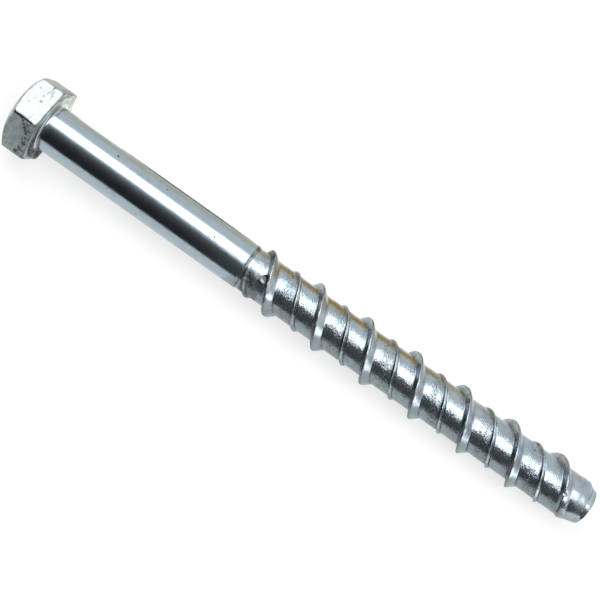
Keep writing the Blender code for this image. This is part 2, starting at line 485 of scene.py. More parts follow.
@dataclass
class Shank:
    """Plain shank and the rolled shoulder where it steps down to the core.

    A swell is its share of the shoulder, its width and its height in millimetres.
    """

    radius: float = 5.975 * MM
    start: float = 1.3 * MM
    end: float = 57.9 * MM
    core_radius: float = 5.70 * MM
    shoulder: float = 1.3 * MM
    swells: tuple = ((0.70, 0.36, 0.14), (0.52, 0.13, -0.13), (0.90, 0.12, -0.14))
    fine_start: float = 57.3 * MM
    rings: int = 100
    shoulder_rings: int = 26

    @property
    def finish_end(self) -> float:
        """Where the rings give way to the helical grid."""
        return self.end + self.shoulder + 0.4 * MM

    def outline(self, x: Array) -> Array:
        """Radius along the shank and the shoulder.

        The shank is straight. At its end a narrow groove, a bulge and a second groove lead down to
        the core, each a bell-shaped swell on a smooth step.
        """
        fall = smooth_step(x, self.end + 0.2 * self.shoulder, self.end + self.shoulder)
        radius = self.radius + (self.core_radius - self.radius) * fall
        for share, width, height in self.swells:
            radius = radius + height * MM * bell(x - self.end - share * self.shoulder, width * MM)
        return radius

    def add(self, surface: Surface, first_ring: Array) -> Array:
        """Add the shank and the shoulder.

        Args:
            surface: The skin to add to.
            first_ring: Numbers of the ring that the shank starts from.

        Returns:
            Numbers of the last ring.
        """
        plain = np.linspace(self.start, self.fine_start, self.rings)[1:]
        fine = np.linspace(self.fine_start, self.finish_end, self.shoulder_rings)[1:]
        x = np.concatenate([plain, fine])[:, None]
        angle = column_angles()[None, :]
        ragged = uneven(Places(self.end, self.radius, angle).points, 1.5, 21) * 0.22 * MM
        ragged = ragged + uneven(Places(x, self.radius, angle).points, 0.6, 25) * 0.14 * MM
        radius = self.outline(x - ragged * between(x, self.end - 0.5 * MM, self.end, self.end,
                                                   self.finish_end))
        points = Places(x, radius, angle).points
        radius = radius + uneven(points * (0.4, 1, 1), 5.0, 22) * 0.006 * MM
        radius = radius + uneven(points * (0.5, 1, 1), 1.1, 23) * 0.0025 * MM
        above = smooth_step(np.degrees(angle), 128, 108)
        top = smooth_step(np.degrees(angle), 60, 45)
        past = x - self.end - ragged
        # Painted shade in the shoulder's two grooves, its strength varying round the axis and made patchy.
        grime = bell(past - 0.50 * self.shoulder, 0.26 * MM) * (0.3 + 1.1 * above)
        grime = grime + bell(past - 0.90 * self.shoulder, 0.18 * MM) * (1.1 - 0.8 * above + 0.6 * top)
        patchy = 1.0 + 0.8 * uneven(points, 0.9, 24)
        numbers = surface.add(Places(x, radius, angle).points, grime=np.clip(grime * patchy, 0, 1))
        surface.skin(np.concatenate([first_ring[None, :], numbers]), Region.SHANK)
        return numbers[-1]


@dataclass
class Thread:
    """High cutting thread and the low thread beside it, rolled on the core.

    Heights are above the core, and places are measured from the high crest's line.
    """

    pitch: float = 14.4 * MM
    first_crest: float = 61.0 * MM
    start: float = 59.2 * MM
    end: float = 158.6 * MM
    core_radius: float = 5.70 * MM
    taper_start: float = 155.8 * MM
    taper_ease: float = 0.5 * MM
    taper_slope: float = 0.248
    high: float = 1.71 * MM
    crest: float = 0.38 * MM
    back_flank: float = 0.55 * MM
    front_flank: float = 1.90 * MM
    low_offset: float = 7.85 * MM
    low: float = 0.62 * MM
    low_crest: float = 0.20 * MM
    low_back_flank: float = 0.30 * MM
    low_front_flank: float = 0.60 * MM
    high_run: tuple = ((59.0, 0.0), (60.2, 0.35), (61.5, 0.8), (63.2, 1.0),
                       (150.9, 1.0), (151.6, 0.85), (152.2, 0.50), (153.4, 0.34), (155.4, 0.2), (156.0, 0.0))
    low_run: tuple = ((59.2, 0.0), (60.6, 0.7), (61.6, 1.0), (149.0, 1.0), (154.6, 0.8), (156.4, 0.1),
                      (157.0, 0.0))
    first_flank_end: float = 66.8 * MM
    plain_end: float = 154.0 * MM
    ridge_x: tuple = (155.7 * MM, 157.5 * MM, 158.2 * MM)
    ridge_height: float = 0.48 * MM
    ridge_degrees: float = 24.0
    ridge_arc: float = 5.5 * MM
    churn_x: tuple = (59.4 * MM, 60.2 * MM, 64.4 * MM, 65.6 * MM)
    churn_degrees: tuple = (100, 118, 210, 235)
    churn_depth: float = 0.06 * MM
    marks: tuple = (Dent(64.2, 107, 0.45, -0.22), Dent(64.1, 121, 0.42, 0.24, 1.3),
                    Dent(60.5, 131, 0.40, -0.25, 1.8), Dent(61.9, 143, 0.45, -0.16, 1.8),
                    Dent(152.0, 112, 0.28, -0.45, 2.2), Dent(152.3, 121, 0.50, 0.22, 1.3),
                    Dent(152.4, 131, 0.28, -0.16, 1.8))
    # Painted highlight streak on the burr.
    streak: Dent = Dent(63.95, 117, 0.22, 1.0, 2.4)

    @property
    def low_root(self) -> float:
        """Foot of the low thread's back flank."""
        return self.low_offset - self.low_crest / 2 - self.low_back_flank

    @property
    def low_foot(self) -> float:
        """Foot of the low thread's front flank."""
        return self.low_offset + self.low_crest / 2 + self.low_front_flank

    def outline(self) -> Array:
        """Rows of one pitch, as (place from the high crest, height).

        The high thread has a steep flank towards the head, a flat crest and a flank of about 45
        degrees towards the tip. The low thread has a crease and a low lip at the foot of its
        front flank. All corners are eased, the roots most.
        """
        corners = np.array([
            (-2.6 * MM, 0.0),
            (-self.crest / 2 - self.back_flank, 0.0),
            (-self.crest / 2, self.high),
            (self.crest / 2, self.high),
            (self.crest / 2 + self.front_flank, 0.0),
            (self.low_root, 0.0),
            (self.low_offset - self.low_crest / 2, self.low),
            (self.low_offset + self.low_crest / 2, self.low),
            (self.low_foot, -0.10 * MM),
            (self.low_foot + 0.22 * MM, 0.04 * MM),
            (self.low_foot + 0.75 * MM, 0.0),
            (self.pitch - 2.6 * MM, 0.0),
        ])
        eases = [0.0, 0.22, 0.08, 0.09, 0.20, 0.12, 0.07, 0.07, 0.07, 0.09, 0.2, 0.0]
        steps = [4, 3, 2, 6, 9, 2, 1, 3, 1, 1, 5]
        return eased_outline(corners, [ease * MM for ease in eases], steps)[:-1]

    def strength(self, run: tuple, crest_x: Array) -> Array:
        """Share of the full height at places on a crest, between the points of a run table."""
        places, shares = zip(*run)
        return np.interp(crest_x, np.array(places) * MM, shares)

    def core(self, x: Array) -> Array:
        """Radius of the core, with an eased bend into the tip's taper."""
        past, ease = x - self.taper_start, self.taper_ease
        bend = np.where(past < -ease, 0.0, np.where(past > ease, past, (past + ease) ** 2 / (4 * ease)))
        return self.core_radius - bend * self.taper_slope

    def add(self, surface: Surface, first_ring: Array, last_ring: Array) -> None:
        """Fill the skin between two rings with rows that follow the right-hand helix.

        Row after row repeats the outline, one pitch further on each time. Along a row the place
        moves on by one pitch for each turn, so after a full turn a row meets the row one outline
        further on. Rows are cut off at the two rings.

        Args:
            surface: The skin to add to.
            first_ring: Numbers of the ring at the start.
            last_ring: Numbers of the ring at the end.
        """
        outline = self.outline()
        rows = len(outline)
        first_turn = math.floor((self.start - self.first_crest) / self.pitch) - 2
        last_turn = math.ceil((self.end - self.first_crest) / self.pitch) + 1
        turns = np.repeat(np.arange(first_turn, last_turn), rows)[:, None]
        offset, height = (np.tile(column, last_turn - first_turn)[:, None] for column in outline.T)
        line = self.first_crest + self.pitch * (turns + np.arange(COLUMNS)[None, :] / COLUMNS)
        x, offset, height, angle = np.broadcast_arrays(line + offset, offset, height, column_angles())
        in_high = offset < (self.crest / 2 + self.front_flank + self.low_offset) / 2
        strength = np.where(in_high, self.strength(self.high_run, line),
                            self.strength(self.low_run, line + self.low_offset))
        places, masks = self.rolled(x, angle, offset, height, strength)
        tolerance = 0.25 * self.pitch / COLUMNS
        before = places.x < self.start + tolerance
        inside = ~before & (places.x <= self.end - tolerance)
        numbers = np.where(before, first_ring[None, :], last_ring[None, :])
        numbers[inside] = surface.add(places.points[inside], **{name: m[inside] for name, m in masks.items()})
        met = np.full((len(turns), 1), last_ring[0])
        met[:-rows, 0] = numbers[rows:, 0]
        surface.skin(np.concatenate([numbers, met], axis=1)[:-rows], Region.THREAD, closed=False)

    def rolled(self, x: Array, angle: Array, offset: Array, height: Array,
               strength: Array) -> tuple[Places, dict[str, Array]]:
        """Radius, roughness and nicks that rolling leaves on the threads and the core.

        Args:
            x: Places along the axis.
            angle: Angles about the axis.
            offset: Places from the high crest's line.
            height: Outline heights above the core.
            strength: Share of the height that stands.

        Returns:
            The places on the skin and the masks.
        """
        radius = self.core(x) + height * strength
        points, degrees = Places(x, radius, angle).points, np.degrees(angle)
        on_crest = smooth_step(height, 0.80 * self.high, 0.98 * self.high) * strength
        on_low = smooth_step(height, 0.5 * self.low, self.low) * (offset > self.low_offset / 2) * strength
        flank = (height > 0.05 * self.high) & (offset < self.low_offset / 2)
        matte = between(offset, 3.7 * MM, 4.5 * MM, 7.2 * MM, 7.5 * MM)
        coarse, middling, fine = (uneven(points, cell, seed)
                                  for cell, seed in ((1.25, 31), (0.62, 32), (0.36, 33)))
        edge = smooth_step(x, 70 * MM, 60 * MM) * ~flank
        grain = (0.008 + 0.006 * matte + 0.035 * edge) * coarse
        grain = grain + (0.005 + 0.007 * matte) * middling + (0.002 + 0.006 * matte) * fine
        radius = radius + np.where(flank, 0.35, 1.0) * grain * MM
        nick = np.maximum(uneven(points, 0.75, 34), -0.2) + 0.2
        radius = radius - (on_crest * 0.075 + on_low * 0.05) * nick * MM
        churned = between(x, *self.churn_x) * between(degrees, *self.churn_degrees)
        radius = radius + churned * self.churn(x, radius * angle)
        before_back = between(offset, -2.9 * MM, -2.3 * MM, -1.3 * MM, -0.9 * MM)
        before_back = before_back + smooth_step(offset, 11.5 * MM, 12.2 * MM)
        matte = np.maximum(np.maximum(matte, churned * 0.7), before_back * 0.35)
        front = (offset > 0) & (offset < self.low_offset / 2)
        smooth = (front & (height > 0.03 * self.high) & (height < 0.97 * self.high)) * 1.0
        smooth = np.maximum(smooth, ((offset > self.low_offset) & (offset < self.low_foot)) * 0.8)
        first = front & flank & (x < self.first_flank_end)
        smooth = np.where(first, 0.0, smooth)
        taper = 0.3 + 0.7 * smooth_step(x, 155.7 * MM, 156.5 * MM)
        smooth = np.where(x > self.plain_end, taper, smooth)
        x = x + np.maximum(on_crest, on_low * 0.5) * uneven(points, 1.0, 35) * 0.09 * MM
        ridge, step = self.end_ridge(x, radius, angle)
        radius = radius + ridge
        warp = uneven(points, 0.7, 36)
        for mark in self.marks:
            radius = radius + mark.at(Places(x + warp * 0.22 * MM, radius, angle + warp * 0.05))
        dusty = between(degrees, 88, 108, 119, 130) * smooth_step(x, self.plain_end, 156 * MM)
        dusty = dusty * smooth_step(coarse + middling, -1.0, 0.5)
        torn = np.maximum(np.maximum(churned, first * 0.5), dusty * 0.8)
        # Painted shade with some dirt in the roots, dark patches in the churned place, and painted shade in
        # the end ridge's step.
        grime = self.roots(offset, degrees, strength, coarse, middling) * (0.75 + 0.5 * coarse)
        grime = grime + churned * smooth_step(middling + 0.6 * coarse, 0.0, 0.8) * 0.5 + step
        places = Places(x, radius, angle)
        # Painted highlights on the flanks, the taper and the burr.
        bright = self.painted_gleam(places, offset, strength, front & flank)
        return places, {"matte": matte, "crest": on_crest, "smooth": smooth, "torn": torn,
                        "bright": np.clip(bright, 0, 1) * 0.9, "grime": np.clip(grime, 0, 1)}

    def roots(self, offset: Array, degrees: Array, strength: Array, coarse: Array,
              middling: Array) -> Array:
        """Painted shade, with some dirt: dark lines in the crease, in the three roots and up the high
        thread's back flank.

        Args:
            offset: Places from the high crest's line.
            degrees: Angles about the axis.
            strength: Share of the height that stands.
            coarse: Random field that breaks up the dirt.
            middling: The same with a finer grain.

        Returns:
            Weights from 0 up.
        """
        lower = between(degrees, 112, 130, 200, 220)
        middle = between(degrees, 96, 108, 138, 150)
        facing = between(degrees, 50, 75, 210, 230)
        lines = bell(offset - self.low_foot, 0.16 * MM)
        lines = lines + bell(offset + self.crest / 2 + self.back_flank, 0.30 * MM) * 0.8
        lines = lines + bell(offset - self.low_root, 0.26 * MM) * (0.8 + 0.9 * middle)
        lines = lines + bell(offset - self.crest / 2 - self.front_flank - 0.05 * MM,
                             0.16 * MM) * (0.35 + 0.6 * lower)
        patches = np.maximum(smooth_step(coarse + 0.5 * middling, -0.2, 0.5), lower)
        back = bell(offset + self.crest / 2 + 0.2 * MM, 0.22 * MM) * patches * 0.8 * facing
        return (lines + back) * strength

    def painted_gleam(self, places: Places, offset: Array, strength: Array, front: Array) -> Array:
        """Weight of the painted highlights.

        They are on the low thread's front flank in two stretches, the high thread's front flank above
        the middle, the lower side of the taper and a streak on the burr.

        Args:
            places: Places on the skin.
            offset: Places from the high crest's line.
            strength: Share of the height that stands.
            front: True on the high thread's front flank.

        Returns:
            Weights from 0 up.
        """
        degrees = places.degrees
        low_flank = between(offset, self.low_offset - 0.02 * MM, self.low_offset + 0.12 * MM,
                            self.low_foot - 0.3 * MM, self.low_foot - 0.05 * MM)
        stretches = between(degrees, 68, 82, 104, 114) + between(degrees, 138, 146, 160, 172) * 0.7
        painted_gleam = (low_flank * stretches + front * between(degrees, 92, 106, 120, 132) * 0.2) * strength
        taper = smooth_step(places.x, 154.5 * MM, 156 * MM) * between(degrees, 143, 150, 166, 176)
        return np.maximum(np.maximum(painted_gleam, taper * 0.28), self.streak.at(places) / MM)

    def end_ridge(self, x: Array, radius: Array, angle: Array) -> tuple[Array, Array]:
        """Low swell where the rolled surface ends, and painted shade in the step in front of it.

        Along the axis the swell rises slowly and falls fast; along the arc it is a bell.

        Args:
            x: Places along the axis.
            radius: Distances from the axis.
            angle: Angles about the axis.

        Returns:
            The heights to add to the radius and the painted shade of the step.
        """
        start, top, end = self.ridge_x
        arc = turn_from(angle, self.ridge_degrees) * radius
        # Painted shade in the step in front of the swell.
        step = bell(x - end, 0.16 * MM) * between(arc, 0.5 * MM, 2.0 * MM, 5.5 * MM, 7.5 * MM) * 0.6
        return self.ridge_height * between(x, start, top, top, end) * bell(arc, self.ridge_arc), step

    def churn(self, x: Array, arc: Array) -> Array:
        """Swirled ridges of the torn-up patch where the rolling dies first bit, below the burr.

        The field's first coordinate is the place along the axis less 0.67 times the arc, which
        lays the ridges aslant, and it is short across the ridges and long along them.

        Args:
            x: Places along the axis.
            arc: Places round the axis.

        Returns:
            Heights to add to the radius.
        """
        across = x - 0.67 * arc
        return uneven(np.stack([across / 0.75, arc / 3.0, x * 0], axis=-1), 1.0, 37) * self.churn_depth


@dataclass
class Tip:
    """Blunt end of the taper with a rounded edge and a plain end face."""

    length: float = 160.0 * MM
    radius: float = 4.70 * MM
    edge_round: float = 0.45 * MM
    dish: float = 0.03 * MM

    def add(self, surface: Surface, start: float, start_radius: float) -> Array:
        """Add the end of the taper, the rounded edge and the end face.

        Args:
            surface: The skin to add to.
            start: Place where the helical grid ends.
            start_radius: Radius there.

        Returns:
            Numbers of the first ring.
        """
        corners = np.array([(start, start_radius), (self.length, self.radius - 0.04 * MM),
                            (self.length, 1.2 * MM), (self.length - self.dish, 0.2 * MM)])
        rows = eased_outline(corners, [0.0, self.edge_round * 1.3, 0.3 * MM, 0.0], [6, 8, 2])
        x, radius = rows[:, 0][:, None], rows[:, 1][:, None]
        angle = column_angles()[None, :]
        points = Places(x, radius, angle).points
        inner = radius < self.radius * 0.97
        fade = smooth_step(x, start, start + 0.8 * MM)
        radius = radius + uneven(points, 1.1, 41) * 0.02 * MM * fade * ~inner
        x = x - inner * np.abs(uneven(points, 0.8, 42)) * 0.05 * MM
        places = Places(x, radius, angle)
        numbers = surface.add(places.points, matte=0.4 * fade, grime=self.grime(places),
                              torn=smooth_step(x, self.length - 1.0 * MM, self.length - 0.4 * MM))
        surface.skin(numbers, Region.TIP)
        surface.close(numbers[-1], np.array([self.length - self.dish, 0.0, 0.0]), Region.TIP, forward=True)
        return numbers[0]

    def grime(self, places: Places) -> Array:
        """Dark patch on the rounded edge, on the side that the dies left last."""
        outer = smooth_step(places.radius, 0.88 * self.radius, 0.96 * self.radius)
        end = smooth_step(places.x, self.length - 1.1 * MM, self.length - 0.7 * MM)
        return end * outer * between(places.degrees, 112, 120, 146, 156) * 1.3


class NodeSheet:
    """Short hand for laying out one material's nodes."""

    def __init__(self, tree: bpy.types.NodeTree) -> None:
        """Keep the tree, its shader if it has one, and the place in the piece's own space."""
        self.nodes = tree.nodes
        self.links = tree.links
        self.shader = self.nodes.get("Principled BSDF")
        self.place = self.nodes.new("ShaderNodeTexCoord").outputs["Object"]

    @classmethod
    def new(cls, name: str) -> tuple["NodeSheet", bpy.types.Material]:
        """Make a material; returns its nodes and the material."""
        material = bpy.data.materials.new(name)
        material.use_nodes = True
        return cls(material.node_tree), material

    def seen(self) -> Socket:
        """1 where the ray comes from the camera or from a glossy or clear surface, else 0."""
        rays = self.nodes.new("ShaderNodeLightPath").outputs
        seen = self.math("MAXIMUM", rays["Is Camera Ray"], rays["Is Glossy Ray"])
        return self.math("MAXIMUM", seen, rays["Is Transmission Ray"])

    def feed(self, socket: Socket, value: object) -> None:
        """Link a socket to another one, or set its value."""
        if isinstance(value, Socket):
            self.links.new(value, socket)
        else:
            socket.default_value = value

    def dress(self, **values: object) -> None:
        """Feed the shader's sockets by name, with underscores for spaces."""
        for name, value in values.items():
            self.feed(self.shader.inputs[name.replace("_", " ")], value)

    def math(self, operation: str, first: object, second: object = 0.0, third: object = 0.0,
             clamp: bool = False) -> Socket:
        """One Math node; returns its output."""
        node = self.nodes.new("ShaderNodeMath")
        node.operation = operation
        node.use_clamp = clamp
        for socket, value in zip(node.inputs, (first, second, third)):
            self.feed(socket, value)
        return node.outputs[0]

    def times(self, first: object, second: object) -> Socket:
        """Product of two values."""
        return self.math("MULTIPLY", first, second)

    def blend(self, value: object, gain: object, base: object, clamp: bool = False) -> Socket:
        """Value times gain, plus base."""
        return self.math("MULTIPLY_ADD", value, gain, base, clamp)

    def noise(self, grain: float, detail: float = 2.0, roughness: float = 0.5,
              stretch: Triple = (1.0, 1.0, 1.0)) -> Socket:
        """Noise in the piece's own space; grain is its feature size in metres."""
        mapping = self.nodes.new("ShaderNodeMapping")
        self.feed(mapping.inputs["Vector"], self.place)
        mapping.inputs["Scale"].default_value = [1 / (grain * way) for way in stretch]
        node = self.nodes.new("ShaderNodeTexNoise")
        for name, value in (("Vector", mapping.outputs[0]), ("Scale", 1.0), ("Detail", detail),
                            ("Roughness", roughness)):
            self.feed(node.inputs[name], value)
        return node.outputs[0]

    def part(self, axis: str) -> Socket:
        """One coordinate of the place in the piece's own space; axis is X, Y or Z."""
        node = self.nodes.new("ShaderNodeSeparateXYZ")
        self.feed(node.inputs[0], self.place)
        return node.outputs[axis]

    def ramp(self, value: Socket, low: float, high: float, bottom: object = 0.0,
             top: object = 1.0) -> Socket:
        """Map low..high to bottom..top with level ends."""
        node = self.nodes.new("ShaderNodeMapRange")
        node.interpolation_type = "SMOOTHSTEP"
        for name, number in (("Value", value), ("From Min", low), ("From Max", high),
                             ("To Min", bottom), ("To Max", top)):
            self.feed(node.inputs[name], number)
        return node.outputs[0]

    def mask(self, mask: Mask) -> Socket:
        """A named weight of the mesh."""
        node = self.nodes.new("ShaderNodeAttribute")
        node.attribute_name = mask.value
        return node.outputs["Fac"]

    def mix(self, share: object, first: object, second: object) -> Socket:
        """Mix two colours."""
        node = self.nodes.new("ShaderNodeMix")
        node.data_type = "RGBA"
        self.feed(node.inputs[0], share)
        for socket, value in zip(node.inputs[6:8], (first, second)):
            self.feed(socket, value if isinstance(value, Socket) else (*value, 1.0))
        return node.outputs[2]

    def window(self, value: Socket, low: float, high: float, ease: float) -> Socket:
        """1 between low and high, with eased ends inside them, and 0 outside."""
        return self.times(self.ramp(value, low, low + ease), self.ramp(value, high, high - ease))

    def spot(self, centre: Vector, radius: float, strength: float = 1.0) -> Socket:
        """The strength inside a small ball about a point of the surface, and 0 from its edge on."""
        node = self.nodes.new("ShaderNodeVectorMath")
        node.operation = "DISTANCE"
        self.feed(node.inputs[0], self.place)
        node.inputs[1].default_value = centre
        return self.ramp(node.outputs["Value"], radius * 0.5, radius, strength, 0.0)

    def bump(self, height: Socket, depth: float, below: Socket | None = None) -> Socket:
        """Bump of a depth in metres, on top of another one."""
        node = self.nodes.new("ShaderNodeBump")
        for name, value in (("Strength", 1.0), ("Distance", depth), ("Height", height)):
            self.feed(node.inputs[name], value)
        if below is not None:
            self.feed(node.inputs["Normal"], below)
        return node.outputs[0]


@dataclass(frozen=True)
class ZincPlate:
    """Bright zinc plate, with the grain that the steel under it has on one region."""

    name: str
    colour: Triple = (0.36, 0.44, 0.49)
    dull_colour: Triple = (0.22, 0.25, 0.26)
    dark_colour: Triple = (0.035, 0.035, 0.04)
    crest_colour: Triple = (0.26, 0.29, 0.31)
    warm_colour: Triple = (0.27, 0.24, 0.21)
    # Colour of the painted highlights.
    painted_highlight_colour: Triple = (0.82, 0.87, 0.88)
    roughness: float = 0.18
    matte_roughness: float = 0.08
    crest_roughness: float = 0.05
    torn_roughness: float = 0.16
    # Roughness added where highlights are painted.
    painted_highlight_roughness: float = 0.15
    dark_roughness: float = 0.25
    smooth_roughness: float = 0.0
    mottle: float = 0.35
    matte_mottle: float = 0.0
    fleck: float = 0.0
    matte_fleck: float = 0.0
    grain: float = 0.26 * MM
    grain_depth: float = 0.008 * MM
    grain_detail: float = 3.0
    matte_depth: float = 0.0
    wave: float = 1.1 * MM
    wave_depth: float = 0.006 * MM
    stretch: Triple = (1.0, 1.0, 1.0)
    spots: tuple = ()
    specks: tuple = ()
    film: tuple = ()
    pits: float = 0.0
    hatch: tuple = ()
    speckle: tuple = ()

    def material(self) -> bpy.types.Material:
        """Make the material.

        The plate's colour is mottled with a duller one, darkened where dirt stays and where shade is
        painted, browned where a crest is rubbed and turned pale where a highlight is painted. Matte
        zones and crests are rougher. Two noises give the bump.

        Returns:
            The material.
        """
        sheet, material = NodeSheet.new(self.name)
        matte, crest, torn, bright = (sheet.mask(mask) for mask in (
            Mask.MATTE, Mask.CREST, Mask.TORN, Mask.BRIGHT))
        rolled = sheet.blend(sheet.mask(Mask.SMOOTH), -0.9, 1.0)
        cloud = sheet.noise(2.4 * self.wave, 4.0, 0.6)
        fine = sheet.noise(self.grain, self.grain_detail, 0.6, self.stretch)
        dull = sheet.times(sheet.ramp(cloud, 0.42, 0.62), sheet.blend(matte, self.matte_mottle, self.mottle))
        rough = sheet.blend(matte, self.matte_roughness, self.roughness)
        if self.fleck:
            glitter = sheet.ramp(sheet.noise(0.36 * MM, 2.0, 0.6, (0.8, 1.6, 1.6)), 0.50, 0.64)
            rough = sheet.blend(sheet.times(glitter, rolled), 0.11, rough)
            flecks = sheet.ramp(sheet.noise(0.34 * MM, 2.0, 0.6, self.stretch), 0.47, 0.60)
            share = sheet.times(sheet.blend(matte, self.matte_fleck, self.fleck), rolled)
            dull = sheet.blend(flecks, share, dull)
        dull = sheet.blend(torn, 0.45, sheet.blend(matte, 0.12, dull), clamp=True)
        tone = sheet.ramp(sheet.noise(1.7 * self.wave, 2.0), 0.48, 0.66)
        plate = self.colour
        if self.film:
            plate = sheet.mix(sheet.ramp(sheet.noise(1.5 * MM, 2.0, 0.6), 0.42, 0.58), *self.film)
        colour = sheet.mix(dull, plate, sheet.mix(tone, self.dull_colour, self.warm_colour))
        worn = sheet.times(crest, sheet.ramp(fine, 0.35, 0.6, 0.55, 1.0))
        dark = self.darkness(sheet, matte, rolled, fine)
        colour = sheet.mix(dark, sheet.mix(worn, colour, self.crest_colour), self.dark_colour)
        for weight, gain in ((crest, self.crest_roughness), (torn, self.torn_roughness),
                             (bright, self.painted_highlight_roughness), (dark, self.dark_roughness),
                             (rolled, -self.smooth_roughness), (sheet.ramp(cloud, 0.35, 0.65), 0.04)):
            rough = sheet.blend(weight, gain, rough)
        rough = sheet.math("ADD", rough, self.smooth_roughness)
        for centre, radius, strength in self.specks:
            rough = sheet.math("ADD", rough, sheet.spot(centre, radius, strength), clamp=True)
        gain = sheet.blend(matte, self.matte_depth / self.grain_depth, 1.0)
        gain = sheet.times(sheet.times(gain, rolled), sheet.ramp(cloud, 0.38, 0.60, 0.45, 1.15))
        waves = sheet.bump(sheet.noise(self.wave, 2.0, 0.5, self.stretch), self.wave_depth)
        # Painted highlights turn the colour pale.
        sheet.dress(Metallic=1.0, Roughness=rough, Base_Color=sheet.mix(bright, colour, self.painted_highlight_colour),
                    Normal=sheet.bump(sheet.times(fine, gain), self.grain_depth, waves))
        return material

    def darkness(self, sheet: NodeSheet, matte: Socket, rolled: Socket, fine: Socket) -> Socket:
        """Share of the dark colour: dirt and painted shade from the mesh, the marks (on the thread, painted
        shade round the burrs and in the dents), pits, the shear lines and the speckled band.

        Args:
            sheet: The material's nodes.
            matte: The matte mask.
            rolled: 1 less most of the smooth mask.
            fine: The fine noise.

        Returns:
            The share, from 0 to 1.
        """
        # Dirt and painted shade from the mesh darken the colour.
        dirt_and_shade_share = sheet.mask(Mask.GRIME)
        dark = sheet.math("MULTIPLY", dirt_and_shade_share, sheet.ramp(fine, 0.3, 0.62, 0.35, 1.0), clamp=True)
        layers = [sheet.spot(*spot) for spot in self.spots]
        if self.pits:
            pits = sheet.ramp(sheet.noise(0.55 * MM, 3.0, 0.6), 0.41, 0.34, 0.0, self.pits)
            layers.append(sheet.times(sheet.times(pits, sheet.blend(matte, 0.8, 0.2)), rolled))
        if self.hatch:
            along = sheet.part("X")
            lines = sheet.ramp(sheet.noise(0.26 * MM, 1.0, 0.5, (1.0, 16.0, 16.0)), 0.48, 0.38)
            patches = sheet.ramp(sheet.noise(3.0 * MM, 1.0), 0.40, 0.55, 0.5, 1.0)
            aside = sheet.math("ABSOLUTE", sheet.math("ADD", sheet.part("Y"), 0.5 * MM))
            patches = sheet.times(patches, sheet.ramp(aside, 1.8 * MM, 3.2 * MM))
            patches = sheet.times(patches, sheet.blend(matte, -0.5, 0.75))
            sheared = sheet.times(sheet.window(along, *self.hatch, 0.3 * MM), patches)
            layers.append(sheet.times(sheared, lines))
            grains = sheet.ramp(sheet.noise(0.5 * MM, 3.0, 0.65, (0.8, 1.3, 1.3)), 0.56, 0.42, 0.0, 0.62)
            band = sheet.times(sheet.window(along, *self.speckle, 0.7 * MM), matte)
            layers.append(sheet.times(band, grains))
        for layer in layers:
            dark = sheet.math("MAXIMUM", dark, layer)
        return dark


